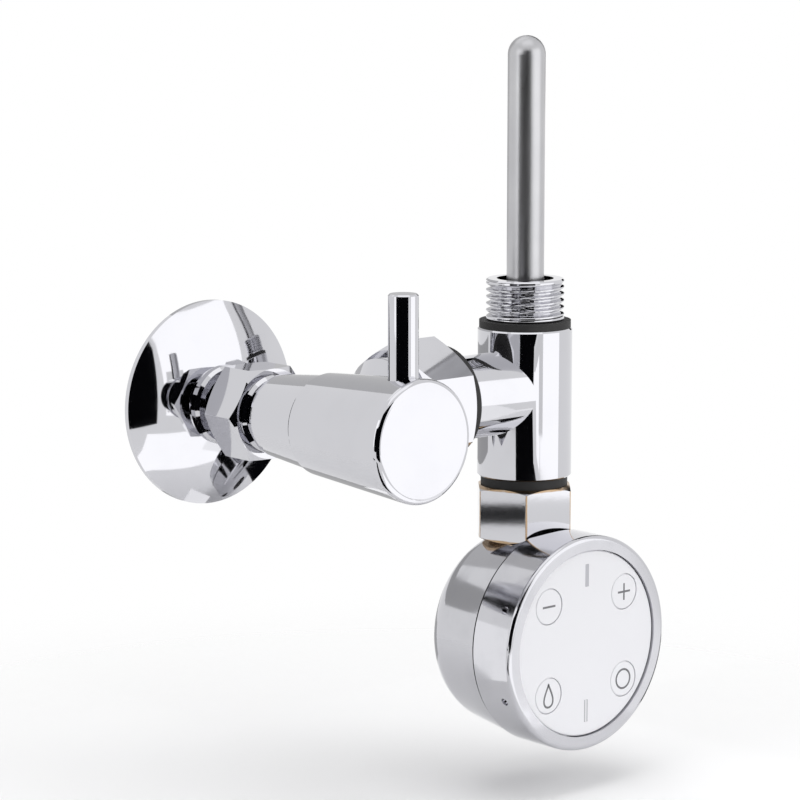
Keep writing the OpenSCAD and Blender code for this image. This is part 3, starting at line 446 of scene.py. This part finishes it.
def merged(node):
    """A CAD node's corner points in the frame, each kept once, and its triangles as rows of point numbers."""
    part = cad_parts[node]
    mesh = part.data
    mesh.calc_loop_triangles()
    points = np.empty(3 * len(mesh.vertices))
    mesh.vertices.foreach_get("co", points)
    corners = np.empty(3 * len(mesh.loop_triangles), int)
    mesh.loop_triangles.foreach_get("vertices", corners)
    turn = np.array(part.matrix_world)
    points = points.reshape(-1, 3) @ turn[:3, :3].T + turn[:3, 3]
    points, number = np.unique(np.round(points, MERGE_DIGITS), axis=0, return_inverse=True)
    return points, number.reshape(-1)[corners].reshape(-1, 3)


def closed_rows(index):
    """Four-sided faces between the rows of a grid of point numbers, whose columns run round and close."""
    beside = np.roll(index, -1, axis=1)
    return np.stack([index[:-1], beside[:-1], beside[1:], index[1:]], axis=-1).reshape(-1, 4)


def cut_thread(node, name, centre, axis, beyond):
    """A copy of a CAD node whose widest plain cylinder, past a point on the axis, carries a screw thread. Its
    radius drops by the thread's depth along a rounded V, a function of height / pitch - turn, and the thread
    runs out at both ends."""
    points, faces = merged(node)
    first = np.roll(axis, 1)
    basis = np.stack([first, np.cross(axis, first), axis])
    across, up, along = basis @ (points - np.array(centre)).T
    reach = np.hypot(across, up)
    radius = reach[along > np.dot(np.array(beyond) - centre, axis)].max()
    plain_faces = (np.abs(reach - radius) < AXIS_SLACK)[faces].all(axis=1)
    used = np.unique(faces[plain_faces])
    angle = np.arctan2(up, across)
    low, high = along[used].min(), along[used].max()
    ends = [used[np.abs(along[used] - end) < END_SLACK] for end in (low, high)]
    ends = [row[np.argsort(angle[row])] for row in ends]
    turn = angle[ends[0]]
    rows = np.linspace(low, high, int((high - low) / PITCH * ROWS_A_TURN))[1:-1, None]
    flank = 2 * np.abs((rows / PITCH - turn / (2 * np.pi)) % 1 - 0.5)
    flank = np.clip((flank - THREAD_FLAT) / (1 - 2 * THREAD_FLAT), 0, 1)
    fade = np.clip(np.minimum(rows - low, high - rows) / PITCH, 0, 1)
    reach = radius - THREAD_DEPTH * fade * flank * flank * (3 - 2 * flank)
    grid = np.stack(np.broadcast_arrays(reach * np.cos(turn), reach * np.sin(turn), rows), axis=-1)
    inner = len(points) + np.arange(reach.size).reshape(reach.shape)
    quads = closed_rows(np.vstack([ends[0], inner, ends[1]]))
    piece = smooth_mesh(name, np.vstack([points, grid.reshape(-1, 3) @ basis + np.array(centre)]),
                        [*faces[~plain_faces].tolist(), *quads.tolist()], CHROME)
    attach(piece, "fixed_set")
    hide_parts(node)


def lip_seal():
    """The seal between the tail and the tee, with a lip that closes the gap behind the union nut. A closed
    profile of (along, away) places, whose rim has a quarter of a circle at each edge, is carried round the
    outlet's axis."""
    points, _ = merged("tail_seal")
    bore = np.hypot(points[:, 1] - OUTLET.y, points[:, 2] - OUTLET.z).min()
    seal_low, seal_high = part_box("tail_seal")
    nut_low, nut_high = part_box("union_nut")
    face = nut_high.x + LIP_GAP
    rim = (nut_high.y - nut_low.y) / 2 - LIP_INSET
    quarter = np.linspace(0, np.pi / 2, LIP_EDGE_STEPS)
    start, end = LIP_EDGE * (1 - np.cos(quarter)), LIP_EDGE * (1 - np.sin(quarter))
    profile = np.vstack([[(seal_low.x, bore), (seal_low.x, LIP_FOOT), (face, LIP_FOOT)],
                         np.column_stack([face + start, rim - end]),
                         np.column_stack([seal_high.x - end, rim - start]),
                         [(seal_high.x, bore)]])
    along, away = profile.T[..., None]
    turn = np.linspace(0, 2 * np.pi, LIP_STEPS, endpoint=False)
    across, up = OUTLET.y + away * np.cos(turn), OUTLET.z + away * np.sin(turn)
    grid = np.stack(np.broadcast_arrays(along, across, up), axis=-1)
    index = np.arange(across.size).reshape(across.shape)
    faces = closed_rows(np.vstack([index, index[:1]]))
    piece = smooth_mesh("tail_seal_with_lip", grid.reshape(-1, 3), faces.tolist(), FINISHES["seal_rubber"])
    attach(piece, "fixed_set")
    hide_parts("tail_seal")


def band(path, closed=False):
    """Points and faces of a flat printed line: a low rectangle carried along a path of (across, up) points.
    An open line has square ends."""
    path = np.asarray(path, float)
    step = np.roll(path, -1, axis=0) - np.roll(path, 1, axis=0) if closed else np.gradient(path, axis=0)
    side = step[:, ::-1] * [1, -1] / np.linalg.norm(step, axis=1)[:, None] * LINE / 2
    left, right = path - side, path + side
    corners = [(left, -INK), (right, -INK), (right, INK), (left, INK)]
    grid = np.stack([np.insert(edge, 1, lift, axis=1) for edge, lift in corners], axis=1)
    index = np.arange(4 * len(path)).reshape(-1, 4)
    if closed:
        faces = closed_rows(np.vstack([index, index[:1]]))
    else:
        faces = np.vstack([closed_rows(index), index[:1, ::-1], index[-1:]])
    return grid.reshape(-1, 3), faces


def print_symbol(name, key, body, *bands):
    """Printed lines on the front of a key, which ride with it."""
    front = middle(key)
    front.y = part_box(key)[0].y
    points, faces = zip(*bands)
    starts = np.cumsum([0] + [len(part) for part in points])
    numbers = np.vstack([start + part for start, part in zip(starts, faces)])
    piece = smooth_mesh(name, np.vstack(points) + np.array(front), numbers.tolist(), INK_FINISH)
    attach(piece, body)


def print_symbols():
    """Minus, plus, a drop and a ring. For t round a turn the drop is (wide * sin t * |sin(t / 2)| ^ point,
    tall * cos t), and the plus has its upright in two halves that meet the flat line's edges."""
    arm, half = SYMBOL_ARM, LINE / 2
    t = np.linspace(0, 2 * np.pi, SYMBOL_STEPS, endpoint=False)
    swell = np.abs(np.sin(t / 2)) ** DROP_POINT
    drop = np.column_stack([DROP_WIDE * np.sin(t) * swell, DROP_TALL * np.cos(t)])
    ring = RING_REACH * np.column_stack([np.sin(t), np.cos(t)])
    flat = band([(-arm, 0), (arm, 0)])
    upper = band([(0, half), (0, arm)])
    lower = band([(0, -arm), (0, -half)])
    print_symbol("minus_symbol", "minus_key", "minus_button", flat)
    print_symbol("plus_symbol", "plus_key", "plus_button", flat, upper, lower)
    print_symbol("drop_symbol", "boost_key", "boost_button", band(drop, closed=True))
    print_symbol("ring_symbol", "power_key", "power_button", band(ring, closed=True))


def face_target(thing, target, azimuth, elevation, distance):
    """Puts a thing at that azimuth, elevation and distance from a target, turned to face it. The angles are
    in degrees."""
    a, e = math.radians(azimuth), math.radians(elevation)
    back = Vector((math.sin(a) * math.cos(e), -math.cos(a) * math.cos(e), math.sin(e)))
    thing.location = target + back * distance
    thing.rotation_euler = (-back).to_track_quat("-Z", "Y").to_euler()


def make_camera(low, high):
    """A long lens that takes in the whole set, from the photograph's side."""
    data = bpy.data.cameras.new("camera")
    data.lens, data.sensor_width = LENS, SENSOR
    camera = add_object("camera", data)
    seen = (high.z - low.z) / VIEW_FILL
    face_target(camera, (low + high) / 2, VIEW_AZIMUTH, VIEW_ELEVATION, seen * LENS / SENSOR)
    bpy.context.scene.camera = camera


def sheet_mesh(name, width, height):
    """A flat rectangle about the origin that looks along +Z."""
    x, y = width / 2, height / 2
    mesh = bpy.data.meshes.new(name)
    mesh.from_pydata([(-x, -y, 0), (x, -y, 0), (x, y, 0), (-x, y, 0)], [], [(0, 1, 2, 3)])
    return mesh


def studio_card(name, width, height, glow):
    """A dark, grey or glowing studio card that is seen only in the chrome."""
    black, blackish = (0.002, 0.002, 0.003), (0.004, 0.004, 0.005)
    r = recipe(name)
    tone = r.noise(r.place(), scale=6.0)
    finish = r.surface(base_color=r.blend(tone, black, blackish), roughness=0.9, specular_ior_level=0.0,
                       emission_color=WHITE, emission_strength=glow)
    card = add_object(name, sheet_mesh(name, width, height))
    card.data.materials.append(finish)
    card.visible_camera = card.visible_diffuse = card.visible_shadow = card.visible_transmission = False
    return card


def soft_lamp(name, width, height, brightness):
    """A soft lamp that the chrome doesn't show. A brightness of 1 is white."""
    data = bpy.data.lights.new(name, "AREA")
    data.shape = "RECTANGLE"
    data.size, data.size_y = width, height
    data.energy = brightness * math.pi * width * height
    lamp = add_object(name, data)
    lamp.visible_camera = lamp.visible_glossy = False
    return lamp


def pale_floor(target):
    """A white floor that keeps the set's shadow and fades out into the white background."""
    white, off_white = (0.98, 0.98, 0.985), (0.96, 0.96, 0.965)
    r = recipe("pale_floor")
    across, deep, _ = r.split(r.place())
    fade = 1 - ((across * across + deep * deep) ** 0.5).ease(*FLOOR_FADE)
    tone = r.noise(r.place(), scale=6.0)
    finish = r.surface(base_color=r.blend(tone, white, off_white), roughness=0.9, alpha=fade)
    floor = add_object("floor", sheet_mesh("floor", FLOOR_WIDTH, FLOOR_WIDTH))
    floor.location = (target.x, target.y, FLOOR)
    floor.data.materials.append(finish)


def light_world():
    """White to the camera and in the chrome, and a plain grey fill on dull surfaces."""
    r = Recipe(bpy.data.worlds.new("studio"))
    bpy.context.scene.world = r.owner
    seen = r.node("LightPath", out="Is Camera Ray") + r.node("LightPath", out="Is Glossy Ray")
    white = (seen + r.node("LightPath", out="Is Transmission Ray")).ease(0.0, 1.0)
    fill = r.node("Background", {}, {"Color": WHITE, "Strength": WORLD_FILL})
    bright = r.node("Background", {}, {"Color": WHITE, "Strength": WORLD_SEEN})
    both = r.node("MixShader", {}, {0: white, 1: fill, 2: bright})
    r.node("OutputWorld", {}, {"Surface": both})


def make_stage(low, high):
    """The world, the soft lamps, the cards that the chrome shows and the floor."""
    target = (low + high) / 2
    light_world()
    for name, (azimuth, elevation, distance, width, height, brightness, glow) in LAMPS.items():
        lamp = soft_lamp(name, width, height, brightness)
        sheet = studio_card(name + "_sheet", width, height, glow)
        for thing in (lamp, sheet):
            face_target(thing, target, azimuth, elevation, distance)
    for name, (faced, azimuth, elevation, distance, width, height, glow) in HUNG_CARDS.items():
        face_target(studio_card(name, width, height, glow), faced, azimuth, elevation, distance)
    for name, (across, deep, width, length, turn, glow) in FLOOR_CARDS.items():
        card = studio_card(name, width, length, glow)
        card.location = (across, deep, FLOOR + CARD_LIFT)
        card.rotation_euler.z = math.radians(turn)
    pale_floor(target)


dress_nodes()
cut_thread("tee_body", "tee_with_thread", TEE, (0.0, 0.0, 1.0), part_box("radiator_seal")[1])
cut_thread("valve_body", "body_with_thread", OUTLET, (1.0, 0.0, 0.0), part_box("union_nut")[0])
lip_seal()
print_symbols()
make_camera(*cad_box)
make_stage(*cad_box)
bpy.context.scene.view_settings.view_transform = "Standard"
